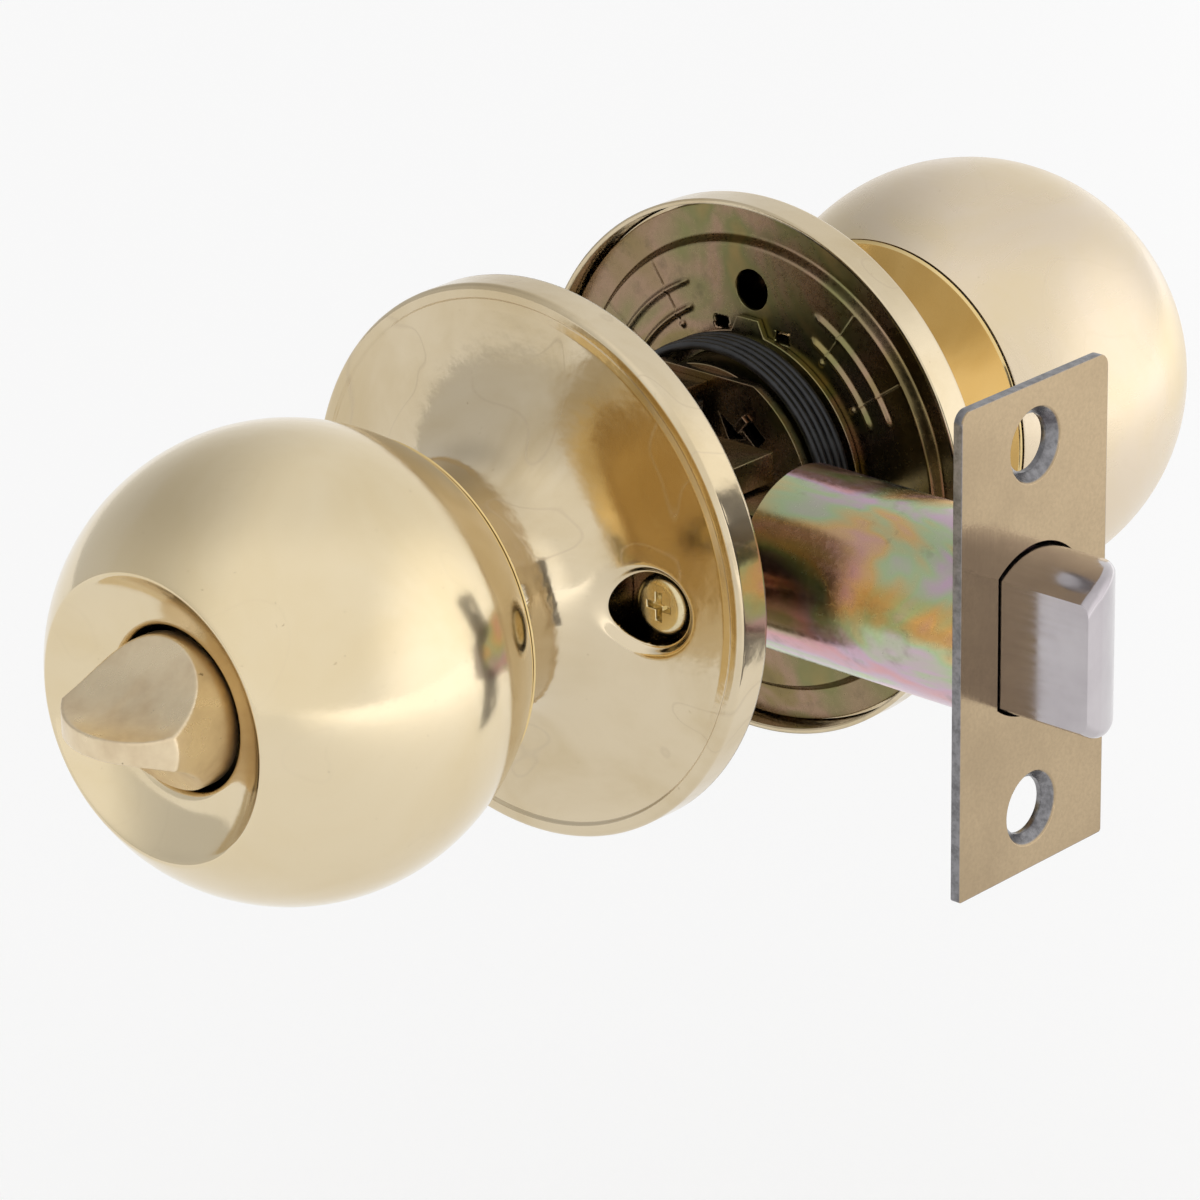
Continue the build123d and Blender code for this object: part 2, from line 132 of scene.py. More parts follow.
def turnedGrid(outline, side, angles):
    # An outline of (radius, depth) carried round the Y axis: x = r cos a, z = r sin a, y = side * depth.
    r, depth = outline[:, 0], outline[:, 1]
    x = np.outer(np.cos(angles), r)
    z = np.outer(np.sin(angles), r)
    y = np.broadcast_to(side * depth, x.shape)
    return np.stack([x, y, z], -1)


def turnedPiece(name, outline, side, body, material, replaced, around):
    # A closed ring-shaped outline turned about the knob axis.
    angles = np.arange(around) * fullTurn / around
    grid = turnedGrid(outline, side, angles)
    points = grid.reshape(-1, 3)
    faces = facingOut(points, gridFaces(around, len(outline), True, True))
    piece(name, points, faces, body, material, replaced)


# Merging distance in metres, and the bend, in degrees, that is flattened or rounded.
softEdge = {"merge": 2e-7, "flatWithin": 0.6, "roundedFrom": 32, "flatWeight": 90}


def softCopy(name, node, body, material, width, segments=2):
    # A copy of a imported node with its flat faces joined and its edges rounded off.
    mesh = frame["nodes"][node].data.copy()
    mesh.name = name
    work = bmesh.new()
    work.from_mesh(mesh)
    bmesh.ops.remove_doubles(work, verts=work.verts, dist=softEdge["merge"])
    bmesh.ops.dissolve_limit(work, angle_limit=np.radians(softEdge["flatWithin"]),
                             verts=work.verts, edges=work.edges)
    work.to_mesh(mesh)
    work.free()
    mesh.materials.clear()
    mesh.materials.append(material)
    made = bpy.data.objects.new(name, mesh)
    bpy.context.scene.collection.objects.link(made)
    mesh.polygons.foreach_set("use_smooth", np.ones(len(mesh.polygons), bool))
    bevel = made.modifiers.new("Rounded edges", "BEVEL")
    bevel.width = width * mm
    bevel.segments = segments
    bevel.limit_method = "ANGLE"
    bevel.angle_limit = np.radians(softEdge["roundedFrom"])
    bevel.use_clamp_overlap = True
    flat = made.modifiers.new("Flat faces", "WEIGHTED_NORMAL")
    flat.weight = softEdge["flatWeight"]
    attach(made, body)
    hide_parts(node)


# Materials, all patterned on Object coordinates.

class Finish:
    # A node material built up step by step from Object coordinates.
    def __init__(self, name):
        self.material = bpy.data.materials.new(name)
        self.material.use_nodes = True
        self.tree = self.material.node_tree
        self.shader = self.tree.nodes["Principled BSDF"]
        self.place = self.tree.nodes.new("ShaderNodeTexCoord").outputs["Object"]

    def node(self, kind, links=(), **settings):
        made = self.tree.nodes.new(kind)
        for key, value in settings.items():
            setattr(made, key, value)
        for socket, source in dict(links).items():
            if hasattr(source, "links"):
                self.tree.links.new(source, made.inputs[socket])
            else:
                made.inputs[socket].default_value = source
        return made

    def mapped(self, scale, rotation=(0, 0, 0)):
        made = self.node("ShaderNodeMapping", {"Vector": self.place, "Scale": scale, "Rotation": rotation})
        return made.outputs["Vector"]

    def noise(self, scale, detail=4, roughness=0.5, vector=None, distortion=0.0):
        links = {"Vector": vector or self.place, "Scale": scale, "Detail": detail,
                 "Roughness": roughness, "Distortion": distortion}
        return self.node("ShaderNodeTexNoise", links).outputs["Fac"]

    def ramp(self, source, stops, smooth=True):
        made = self.node("ShaderNodeValToRGB", {"Fac": source})
        elements = made.color_ramp.elements
        made.color_ramp.interpolation = "EASE" if smooth else "LINEAR"
        while len(elements) < len(stops):
            elements.new(0.5)
        for element, (at, colour) in zip(elements, stops):
            element.position = at
            element.color = (*colour, 1)
        return made.outputs["Color"]

    def remap(self, source, fromLow, fromHigh, low, high):
        made = self.node("ShaderNodeMapRange", {"Value": source, "From Min": fromLow, "From Max": fromHigh,
                                                "To Min": low, "To Max": high})
        return made.outputs["Result"]

    def mix(self, factor, a, b):
        made = self.node("ShaderNodeMix", data_type="RGBA")
        for socket, source in ((0, factor), (6, a), (7, b)):
            if hasattr(source, "links"):
                self.tree.links.new(source, made.inputs[socket])
            else:
                made.inputs[socket].default_value = source if socket == 0 else (*source, 1)
        return made.outputs[2]

    def math(self, how, a, b):
        made = self.node("ShaderNodeMath", {0: a, 1: b}, operation=how)
        return made.outputs[0]

    def bump(self, height, strength, distance, under=None):
        links = {"Height": height, "Strength": strength, "Distance": distance}
        if under is not None:
            links["Normal"] = under
        return self.node("ShaderNodeBump", links).outputs["Normal"]

    def put(self, socket, source):
        if hasattr(source, "links"):
            self.tree.links.new(source, self.shader.inputs[socket])
        else:
            self.shader.inputs[socket].default_value = source

    def shade(self, **values):
        for key, value in values.items():
            self.put(key.replace("_", " "), value)
        return self.material


polishedBrassLook = {
    "colour": (0.76, 0.645, 0.445), "stain": (0.72, 0.59, 0.37), "rim": (0.55, 0.45, 0.31),
    "polish": 0.10, "dullest": 0.20, "orangePeel": 0.00002, "peelSize": 420, "cloudSize": 45,
    "marks": 0.06, "markSize": 70, "markLevel": 0.60, "markWidth": 0.010, "markDulls": 0.2,
    "brush": 0.02, "brushDepth": 0.0001, "streakSize": 1100, "hairSize": 260, "hairDulls": 0.05,
    "speckSize": 1500, "speck": (0.35, 0.26, 0.14), "speckShare": 0.35,
}


def polishedBrass(name, look):
    # Mirror-polished pale brass: clouded polish, faint tarnish clouds, fine hairlines and specks.
    # Dried water marks are thin darker outlines where a slow noise crosses one level.
    f = Finish(name)
    clouds = f.noise(look["cloudSize"], 5, 0.55, distortion=0.6)
    hairs = f.noise(look["hairSize"], 3, 0.6, f.mapped((1, 0.12, 1), (0.3, 0.2, 0.9)))
    streaks = f.noise(look["streakSize"], 2, 0.6, f.mapped((0.05, 1, 1), (0, 0, 0.4)))
    specks = f.noise(look["speckSize"], 2, 0.5)
    spots = f.remap(specks, 0.73, 0.80, 0, 1)
    slow = f.noise(look["markSize"], 1.2, 0.5, distortion=0.5)
    level = f.math("ABSOLUTE", f.math("SUBTRACT", slow, look["markLevel"]), 0)
    outline = f.math("MULTIPLY", f.remap(level, 0.0, look["markWidth"], 1, 0), look["marks"])
    colour = f.ramp(clouds, [(0.35, look["colour"]), (0.78, look["stain"])])
    colour = f.mix(outline, colour, look["rim"])
    colour = f.mix(f.math("MULTIPLY", spots, look["speckShare"]), colour, look["speck"])
    rough = f.remap(clouds, 0.35, 0.8, look["polish"], look["dullest"])
    rough = f.math("ADD", rough, f.remap(hairs, 0.55, 0.75, 0, look["hairDulls"]))
    rough = f.math("ADD", rough, f.math("MULTIPLY", outline, look["markDulls"]))
    peel = f.noise(look["peelSize"], 2, 0.4)
    normal = f.bump(peel, 1.0, look["orangePeel"])
    normal = f.bump(streaks, look["brush"], look["brushDepth"], normal)
    return f.shade(Base_Color=colour, Metallic=1.0, Roughness=rough, Normal=normal)


satinBrassLook = {
    "colour": (0.80, 0.665, 0.455), "dark": (0.64, 0.50, 0.325), "speck": (0.16, 0.11, 0.06),
    "blotchSize": 160, "scratchSize": 900, "pitSize": 700, "pitShare": 0.7, "rough": (0.24, 0.36),
}


def satinBrass(name, look):
    # Handled satin brass: soft blotches, short scratches and dark pits.
    f = Finish(name)
    blotches = f.noise(look["blotchSize"], 4, 0.6)
    scratches = f.noise(look["scratchSize"], 2, 0.5, f.mapped((1, 0.1, 0.35), (0.5, 0.3, 0.6)))
    pits = f.remap(f.noise(look["pitSize"], 3, 0.6), 0.70, 0.76, 0, 1)
    colour = f.ramp(blotches, [(0.35, look["colour"]), (0.75, look["dark"])])
    colour = f.mix(f.math("MULTIPLY", pits, look["pitShare"]), colour, look["speck"])
    rough = f.remap(blotches, 0.3, 0.7, *look["rough"])
    rough = f.math("ADD", rough, f.remap(scratches, 0.5, 0.8, 0, 0.15))
    normal = f.bump(scratches, 0.6, 0.00002, f.bump(pits, -0.5, 0.00004))
    return f.shade(Base_Color=colour, Metallic=1.0, Roughness=rough, Normal=normal)


yellowZincLook = {
    "bands": [(0.28, (0.14, 0.11, 0.05)), (0.42, (0.24, 0.18, 0.08)), (0.50, (0.32, 0.215, 0.14)),
              (0.60, (0.22, 0.205, 0.09)), (0.74, (0.36, 0.25, 0.10))],
    "stretch": (1, 1, 1), "size": 60, "rough": (0.20, 0.34), "grime": (0.10, 0.085, 0.05),
    "grainSize": 1400, "dirtSize": 240,
}


def yellowZinc(name, look):
    # Iridescent passivated zinc: slow colour bands between olive, gold, pink and green over grained steel.
    f = Finish(name)
    flow = f.noise(look["size"], 3, 0.5, f.mapped(look["stretch"]), 0.8)
    grain = f.noise(look["grainSize"], 3, 0.6)
    dirt = f.remap(f.noise(look["dirtSize"], 5, 0.65), 0.58, 0.75, 0, 0.5)
    colour = f.ramp(flow, look["bands"], False)
    colour = f.mix(dirt, colour, look["grime"])
    rough = f.math("ADD", f.remap(flow, 0.3, 0.7, *look["rough"]), f.remap(grain, 0.4, 0.7, -0.03, 0.06))
    normal = f.bump(grain, 0.35, 0.00002)
    return f.shade(Base_Color=colour, Metallic=1.0, Roughness=rough, Normal=normal)


tubeZincLook = {
    **yellowZincLook,
    "bands": [(0.30, (0.46, 0.40, 0.24)), (0.39, (0.66, 0.36, 0.38)), (0.46, (0.58, 0.42, 0.52)),
              (0.53, (0.44, 0.54, 0.32)), (0.61, (0.68, 0.45, 0.20)), (0.71, (0.64, 0.35, 0.38))],
    "stretch": (0.5, 1, 1), "size": 85, "rough": (0.16, 0.27), "grime": (0.20, 0.16, 0.11),
}

plateBrassLook = {
    "colour": (0.38, 0.285, 0.175), "warm": (0.45, 0.34, 0.21), "edge": (0.27, 0.265, 0.275),
    "half": (12.7, 28.6), "face": 56.0, "rimWidth": 0.14, "faceFade": (0.25, 0.1),
    "lineSize": 2600, "cloudSize": 60, "smearSize": 350, "gritSize": 2200, "tarnishSize": 900,
    "rough": (0.11, 0.18), "bareDulls": 0.15,
}


def plateBrass(name, look):
    # Brushed tan brass plate with fine upright lines and bare grey steel at its cut edges.
    # The edges are where |y| or |z| passes the half size, or where x is behind the front face.
    f = Finish(name)
    split = f.node("ShaderNodeSeparateXYZ", {"Vector": f.place}).outputs
    margins = [f.remap(f.math("ABSOLUTE", split[k], 0), (half - look["rimWidth"]) * mm, half * mm, 0, 1)
               for k, half in zip((1, 2), look["half"])]
    start, end = ((look["face"] - fade) * mm for fade in look["faceFade"])
    behind = f.remap(split[0], start, end, 1, 0)
    bare = f.math("MAXIMUM", f.math("MAXIMUM", *margins), behind)
    lines = f.noise(look["lineSize"], 2, 0.6, f.mapped((1, 1, 0.02)))
    clouds = f.noise(look["cloudSize"], 4, 0.6)
    smears = f.noise(look["smearSize"], 3, 0.5, f.mapped((1, 1, 0.25)))
    grit = f.noise(look["gritSize"], 3, 0.65)
    colour = f.ramp(clouds, [(0.3, look["colour"]), (0.7, look["warm"])])
    shaded = tuple(0.7 * c for c in look["colour"])
    colour = f.mix(f.remap(grit, 0.35, 0.75, 0, 0.35), colour, shaded)
    tarnish = f.noise(look["tarnishSize"], 4, 0.7)
    tarnished = tuple(0.55 * c for c in look["edge"])
    bareTone = f.ramp(tarnish, [(0.35, look["edge"]), (0.7, tarnished)])
    colour = f.mix(bare, colour, bareTone)
    rough = f.remap(lines, 0.3, 0.7, *look["rough"])
    rough = f.math("ADD", rough, f.remap(smears, 0.5, 0.8, 0, 0.08))
    rough = f.math("ADD", rough, f.math("MULTIPLY", bare, look["bareDulls"]))
    normal = f.bump(grit, 0.5, 0.00001, f.bump(lines, 0.25, 0.00001))
    return f.shade(Base_Color=colour, Metallic=1.0, Roughness=rough, Normal=normal)


nickelLook = {
    "colour": (0.50, 0.468, 0.482), "dark": (0.42, 0.385, 0.405),
    "lineSize": 1800, "cloudSize": 120, "rough": (0.10, 0.18),
}


def nickel(name, look):
    # Lightly linished nickel with a faint violet cast.
    f = Finish(name)
    lines = f.noise(look["lineSize"], 2, 0.6, f.mapped((0.03, 1, 1)))
    clouds = f.noise(look["cloudSize"], 4, 0.6)
    colour = f.ramp(clouds, [(0.3, look["colour"]), (0.8, look["dark"])])
    rough = f.remap(lines, 0.3, 0.7, *look["rough"])
    rough = f.math("ADD", rough, f.remap(clouds, 0.4, 0.8, 0, 0.06))
    normal = f.bump(lines, 0.2, 0.00001)
    return f.shade(Base_Color=colour, Metallic=1.0, Roughness=rough, Normal=normal)


def brightSteel(name, colour, low=0.18, high=0.32):
    # Plain plated steel, slightly clouded and scratched.
    f = Finish(name)
    clouds = f.noise(220, 4, 0.6)
    scratches = f.noise(900, 2, 0.5, f.mapped((1, 0.15, 0.6), (0.4, 0.7, 0.2)))
    dulled = tuple(0.7 * c for c in colour)
    rough = f.math("ADD", f.remap(clouds, 0.3, 0.7, low, high), f.remap(scratches, 0.55, 0.8, 0, 0.1))
    normal = f.bump(scratches, 0.4, 0.00002)
    tone = f.ramp(clouds, [(0.3, colour), (0.8, dulled)])
    return f.shade(Base_Color=tone, Metallic=1.0, Roughness=rough, Normal=normal)


def blackOxide(name):
    # Oiled black spring wire with a soft sheen and worn streaks.
    f = Finish(name)
    wear = f.noise(500, 4, 0.6)
    tone = f.ramp(wear, [(0.4, (0.006, 0.006, 0.007)), (0.85, (0.03, 0.03, 0.032))])
    rough = f.remap(wear, 0.3, 0.7, 0.26, 0.45)
    return f.shade(Base_Color=tone, Metallic=0.0, Roughness=rough, Normal=f.bump(wear, 0.3, 0.00002))


def blackNylon(name):
    # Moulded black nylon with a fine spark texture.
    f = Finish(name)
    fleck = f.noise(1600, 3, 0.6)
    tone = f.ramp(fleck, [(0.3, (0.008, 0.008, 0.008)), (0.8, (0.02, 0.02, 0.02))])
    rough = f.remap(fleck, 0.3, 0.7, 0.45, 0.6)
    return f.shade(Base_Color=tone, Roughness=rough, Normal=f.bump(fleck, 0.4, 0.00003))


backBallLook = {
    **polishedBrassLook, "colour": (0.73, 0.62, 0.48), "polish": 0.22, "dullest": 0.34, "brush": 0.10,
}
roseLook = {
    **polishedBrassLook, "colour": (0.68, 0.575, 0.405), "stain": (0.58, 0.465, 0.285), "orangePeel": 0.00003,
    "peelSize": 520, "cloudSize": 60, "dullest": 0.22, "polish": 0.09, "marks": 0.45,
}
# The neck's colour and stain are a deeper gold than the ball's. This is painted reflection: the saturated gold
# of brass reflecting brass, put into the neck's own colour.
neckReflectionGoldLook = {
    **polishedBrassLook, "colour": (0.78, 0.60, 0.30), "stain": (0.70, 0.50, 0.20), "polish": 0.08,
    "dullest": 0.16,
}
ballBrass = polishedBrass("Ball brass", polishedBrassLook)
backBallBrass = polishedBrass("Outside ball brass", backBallLook)
roseBrass = polishedBrass("Rose brass", roseLook)
neckBrassReflectionGold = polishedBrass("Neck brass with painted reflection gold", neckReflectionGoldLook)
buttonBrass = satinBrass("Button brass", satinBrassLook)
linerZinc = yellowZinc("Liner zinc", yellowZincLook)
tubeZinc = yellowZinc("Tube zinc", tubeZincLook)
faceBrass = plateBrass("Faceplate brass", plateBrassLook)
boltNickel = nickel("Bolt nickel", nickelLook)
plainSteel = brightSteel("Plated steel", (0.60, 0.60, 0.58))
screwSteel = brightSteel("Brassed screw", (0.80, 0.68, 0.42), 0.15, 0.3)
bronze = brightSteel("Oiled bronze", (0.45, 0.33, 0.20), 0.3, 0.5)
springBlack = blackOxide("Spring black")
nylon = blackNylon("Black nylon")
print("materials made")


# The two ball knobs and their necks.

ball = {
    "radius": 26.5, "depth": 58.7, "wall": 0.9, "mouthRadius": 21.15,
    "rimRadius": 16.2, "holeRadius": 9.1, "holeDepth": 76.0, "dishSag": 0.7, "edge": 0.05, "rimBlur": 0.34,
    "lipRadius": 1.3, "wellDepth": 73.4, "frontPoints": 300, "points": 330, "around": 360,
}


def offsetLine(line, distance):
    # The line moved sideways by a constant distance, to the left of its direction.
    along = np.gradient(line, axis=0)
    along /= np.hypot(*along.T)[:, None]
    return line + distance * np.stack([-along[:, 1], along[:, 0]], 1)


def horn(throat, reach, start, length, near, far, count=160):
    # Trumpet line: radius = throat + reach * exp((start - depth) / length), points crowded at its wide end.
    share = np.linspace(0, 1, count)
    share = share ** 2 if length > 0 else 1 - (1 - share) ** 2
    depth = near + (far - near) * share
    return np.stack([throat + reach * np.exp((start - depth) / length), depth], 1)


def sagArc(start, end, sag, count=40):
    # Circular arc between two points whose middle stands off the chord by sag, to its left.
    a, b = np.array(start, float), np.array(end, float)
    chord = b - a
    half = np.hypot(*chord) / 2
    left = np.array([-chord[1], chord[0]]) / (2 * half)
    radius = (half ** 2 + sag ** 2) / (2 * sag)
    centre = (a + b) / 2 + left * (sag - radius)
    first = np.degrees(np.arctan2(*(a - centre)[::-1]))
    last = np.degrees(np.arctan2(*(b - centre)[::-1]))
    if last - first > 180:
        last -= 360
    if first - last > 180:
        last += 360
    return arc(centre, abs(radius), first, last, count)


def ballOutline(size):
    # Cross-section of the hollow ball: outer sphere, soft rim, dish, a rolled lip down into the
    # button's well, and the inner sphere one wall inside.
    centre = (0, size["depth"])
    outer, inner, wall = size["radius"], size["radius"] - size["wall"], size["wall"]
    outerMouth = -np.degrees(np.arccos(size["mouthRadius"] / outer))
    innerMouth = -np.degrees(np.arccos(size["mouthRadius"] / inner))
    outerRim = np.degrees(np.arccos(size["rimRadius"] / outer))
    sphere = arc(centre, outer, outerMouth, outerRim, 400)
    hole, lip = size["holeRadius"], size["lipRadius"]
    dish = sagArc(sphere[-1], (hole + 0.4 * lip, size["holeDepth"]), size["dishSag"])
    well = [(hole, size["holeDepth"] - 0.8 * lip), (hole, size["wellDepth"])]
    front = softOutline(np.vstack([sphere, dish[1:], well]), size["rimBlur"], size["frontPoints"], False)
    back = offsetLine(front, wall)[::-1]
    back = back[(back[:, 1] > size["depth"]) | (np.hypot(*(back - centre).T) < inner + 0.02)]
    inMouth = arc(centre, inner, innerMouth, innerMouth + 1, 3)[:1]
    return softOutline(np.vstack([front, back, inMouth]), size["edge"], size["points"])


for side, word in ((inside, "inside"), (outside, "outside")):
    turnedPiece(word + "Ball", ballOutline(ball), side, word + "_knob",
                ballBrass if side == inside else backBallBrass, [word + "_knob_shell"], ball["around"])

neck = {
    "throatRadius": 11.6, "footDepth": 26.5, "lipRadius": 20.9, "lipDepth": 42.1, "flareLength": 2.3,
    "wall": 0.6, "bead": 0.36, "boreRadius": 8.0, "edge": 0.04, "footRound": 0.8, "insideRound": 0.5,
    "straight": 1.5, "points": 200, "around": 288,
}


def neckOutline(size):
    # Cross-section of the neck: foot, straight throat, flare to a beaded lip, and one wall inside.
    foot, wall = size["footDepth"], size["wall"]
    reach = size["lipRadius"] - size["throatRadius"]
    flare = horn(size["throatRadius"], reach, size["lipDepth"], -size["flareLength"],
                 foot + size["straight"], size["lipDepth"])
    back = offsetLine(flare, wall)[::-1]
    bead = [(flare[-1] + back[0]) / 2 + (size["bead"], 0)]
    start = [(size["boreRadius"], foot), (size["throatRadius"] - size["footRound"], foot)]
    bore, turn = size["throatRadius"] - wall, size["insideRound"]
    end = [(bore, foot + wall + turn), (bore - turn, foot + wall), (size["boreRadius"], foot + wall)]
    return softOutline(np.vstack([start, flare, bead, back, end]), size["edge"], size["points"])


# Both necks use the brass with painted reflection gold.
for side, word in ((inside, "inside"), (outside, "outside")):
    turnedPiece(word + "Neck", neckOutline(neck), side, word + "_knob", neckBrassReflectionGold,
                [word + "_knob_neck"], neck["around"])
print("knobs made")


# The roses, their liners and the springs behind them.

rose = {
    "radius": 32.5, "openDepth": 17.26, "bandDepth": 21.6, "wall": 0.6, "corner": 0.75,
    "ledgeRadius": 30.7, "ledgeDepth": 21.25, "domeRadius": 29.6, "domeDepth": 21.15,
    "throatRadius": 12.85, "flareLength": 2.7, "topDepth": 35.0, "blur": 0.07,
    "holeRadius": 4.4, "holeOffset": 20.3, "holeReach": 5.0, "lipDrop": 1.0, "lipWidth": 0.6,
    "crowdWidth": 1.2, "crowdGain": 7, "angleWidth": 0.07, "angleGain": 9,
    "holedPoints": 260, "plainPoints": 200, "holedAround": 560, "plainAround": 320,
}


def roseLine(size):
    # The rose's outside: open rim, band, step and ledge, then up the trumpet to the neck.
    radius, corner, top = size["radius"], size["corner"], size["bandDepth"]
    bend = arc((radius - corner, top - corner), corner, 0, 90, 12)
    ledge = [(size["ledgeRadius"] + 0.3, top), (size["ledgeRadius"], size["ledgeDepth"])]
    rim = np.vstack([[(radius, size["openDepth"])], bend, ledge])
    dome = horn(size["throatRadius"], size["domeRadius"] - size["throatRadius"], size["domeDepth"],
                size["flareLength"], size["domeDepth"], size["topDepth"])
    return np.vstack([rim, dome])


def openedHole(points, faces, centre, radius, reach, dropped=0.35):
    # Widens a point of a sheet into a round hole. Distances from its centre run from radius upward, as
    # radius + (far - dropped) * reach / (outer - dropped), and faces inside dropped are left out.
    outer = radius + reach
    offset = points[:, [0, 2]] - centre
    far = np.hypot(*offset.T)
    near = far < outer
    moved = radius + np.maximum(far - dropped, 0) * reach / (outer - dropped)
    scale = np.where(near, moved / np.maximum(far, 1e-6), 1)
    points = points.copy()
    points[:, [0, 2]] = centre + offset * scale[:, None]
    keep = (far[faces] > dropped).any(1)
    return points, faces[keep], np.where(near, moved, far)


def sheetPiece(name, points, faces, body, material, replaced, wall, towards):
    # A one-sided sheet, thickened by wall away from the side that towards points to (a sign along Y).
    a, b, c = (points[faces[:, k]] for k in range(3))
    normalY = np.cross(b - a, c - a)[:, 1].sum()
    if normalY * towards < 0:
        faces = faces[:, ::-1]
    used = np.unique(faces)
    renumber = np.full(len(points), -1)
    renumber[used] = np.arange(len(used))
    made = piece(name, points[used], renumber[faces], body, material, replaced)
    thick = made.modifiers.new("Sheet", "SOLIDIFY")
    thick.thickness = wall * mm
    thick.offset = -1
    thick.use_even_offset = True
    thick.use_rim = True


def crowdedAngles(count, centres, width, gain):
    # Angles round the circle, closer together near the given ones.
    fine = np.linspace(0, fullTurn, 20000)
    weight = np.ones_like(fine)
    for centre in centres:
        gap = np.angle(np.exp(1j * (fine - centre)))
        weight += gain * np.exp(-(gap / width) ** 2)
    total = np.cumsum(weight)
    return np.interp(np.arange(count) / count * total[-1], total, fine)


def crowdedRadii(size):
    # How much closer points lie at each radius: 1 + gain * exp(-((r - hole) / width)^2).
    def dense(r):
        return 1 + size["crowdGain"] * np.exp(-((r - size["holeOffset"]) / size["crowdWidth"]) ** 2)
    return dense


def makeRose(side, word, size, holes):
    # The rose's sheet, with a round hole and a turned-in lip at each x in holes.
    line = roseLine(size)
    if holes:
        outline = softOutline(line, size["blur"], size["holedPoints"], False, crowdedRadii(size))
        angles = crowdedAngles(size["holedAround"], [0, np.pi], size["angleWidth"], size["angleGain"])
    else:
        outline = softOutline(line, size["blur"], size["plainPoints"], False)
        angles = np.arange(size["plainAround"]) * fullTurn / size["plainAround"]
    points = turnedGrid(outline, side, angles).reshape(-1, 3)
    faces = gridFaces(len(angles), len(outline), True, False)
    for x in holes:
        centre = np.array([x, 0.0])
        points, faces, far = openedHole(points, faces, centre, size["holeRadius"], size["holeReach"])
        near = far < size["holeRadius"] + size["holeReach"]
        radius = np.hypot(points[:, 0], points[:, 2])
        order = np.argsort(outline[:, 0])
        depth = np.interp(radius, outline[order, 0], outline[order, 1])
        drop = size["lipDrop"] * np.exp(-((far - size["holeRadius"]) / size["lipWidth"]) ** 2)
        points[near, 1] = side * (depth - drop)[near]
    sheetPiece(word + "Rose", points, faces, "lock_case", roseBrass,
               [word + "_rose"], size["wall"], side)


makeRose(inside, "inside", rose, (-rose["holeOffset"], rose["holeOffset"]))
makeRose(outside, "outside", rose, ())
print("roses made")

liner = {
    "innerRadius": 14.55, "faceDepth": 18.4, "ringDepth": 19.7, "stepRadius": 27.4, "stepHalf": 0.4,
    "radius": 31.4, "wall": 0.6, "blur": 0.14, "blurPoints": 130, "points": 150, "around": 640,
    "ribs": [(23.0, 26, 64), (20.0, 27, 62)], "ribHeight": 0.5, "ribWidth": 0.34, "ribFade": 1.5,
    "scores": (34.5, 55.0), "scoreSpan": (19.0, 27.0), "scoreWidth": 0.12, "scoreHeight": 0.12,
    "pipRadius": 18.6, "pipHeight": 0.35, "pipWidth": 0.35,
    "angleWidth": 0.05, "angleGain": 4,
    "holeRadius": 2.5, "holeHeight": 21.8, "holeReach": 2.0,
    "slotX": 4.6, "slotZ": 16.9, "slotSize": (2.2, 1.6),
}


def smoothStep(value, low, high):
    t = np.clip((value - low) / (high - low), 0, 1)
    return t * t * (3 - 2 * t)


def linerRelief(r, degrees, size):
    # Height of the pressed ribs, pips and score lines above the face, as a sum of soft ridges.
    fade = size["ribFade"]
    height = np.zeros_like(r)
    for mirrored in (degrees, 180 - degrees):
        for ribRadius, first, last in size["ribs"]:
            fadeIn = smoothStep(mirrored, first - fade, first + fade)
            span = fadeIn * (1 - smoothStep(mirrored, last - fade, last + fade))
            height += size["ribHeight"] * span * np.exp(-((r - ribRadius) / size["ribWidth"]) ** 2)
        low, high = size["scoreSpan"]
        for angle in size["scores"]:
            across = np.radians(mirrored - angle) * r
            span = smoothStep(r, low, low + 0.5) * (1 - smoothStep(r, high - 0.5, high))
            height += size["scoreHeight"] * span * np.exp(-(across / size["scoreWidth"]) ** 2)
            dot = across ** 2 + (r - size["pipRadius"]) ** 2
            height += size["pipHeight"] * np.exp(-dot / size["pipWidth"] ** 2)
    return height


def makeLiner(side, word, size):
    # A flat face with a step up to its outer ring, pressed ribs and scores, one round hole and two slots.
    face, ringDepth = size["faceDepth"], size["ringDepth"]
    step, half = size["stepRadius"], size["stepHalf"]
    line = [(size["innerRadius"], face), (step - half, face),
            (step + half, ringDepth), (size["radius"], ringDepth)]
    outline = softOutline(line, size["blur"], size["blurPoints"], False)
    radii = np.linspace(size["innerRadius"], size["radius"], size["points"])
    outline = np.stack([radii, np.interp(radii, outline[:, 0], outline[:, 1])], 1)
    details = [90, *size["scores"], *(180 - score for score in size["scores"][::-1])]
    angles = crowdedAngles(size["around"], np.radians(details), size["angleWidth"], size["angleGain"])
    grid = turnedGrid(outline, side, angles)
    r = np.broadcast_to(outline[:, 0], grid.shape[:2])
    degrees = np.broadcast_to(np.degrees(angles)[:, None], grid.shape[:2])
    grid[..., 1] -= side * linerRelief(r, degrees, size)
    points = grid.reshape(-1, 3)
    faces = gridFaces(len(angles), len(outline), True, False)
    centre = np.array([0, size["holeHeight"]])
    points, faces = openedHole(points, faces, centre, size["holeRadius"], size["holeReach"])[:2]
    middle = points[faces].mean(1)
    wide, tall = size["slotSize"]
    inWidth = abs(abs(middle[:, 0]) - size["slotX"]) < wide / 2
    inSlot = inWidth & (abs(middle[:, 2] - size["slotZ"]) < tall / 2)
    sheetPiece(word + "Liner", points, faces[~inSlot], "lock_case", linerZinc,
               [word + "_rose_liner"], size["wall"], -side)


makeLiner(inside, "inside", liner)
makeLiner(outside, "outside", liner)
print("liners made")

coil = {
    "wire": 1.0, "radius": 16.45, "turns": 4.75, "pitch": 1.03, "start": 11.8, "steps": 900, "around": 14,
    "ripple": 0.06, "rippleRate": 2.3, "ripplePhase": 0.5,
}


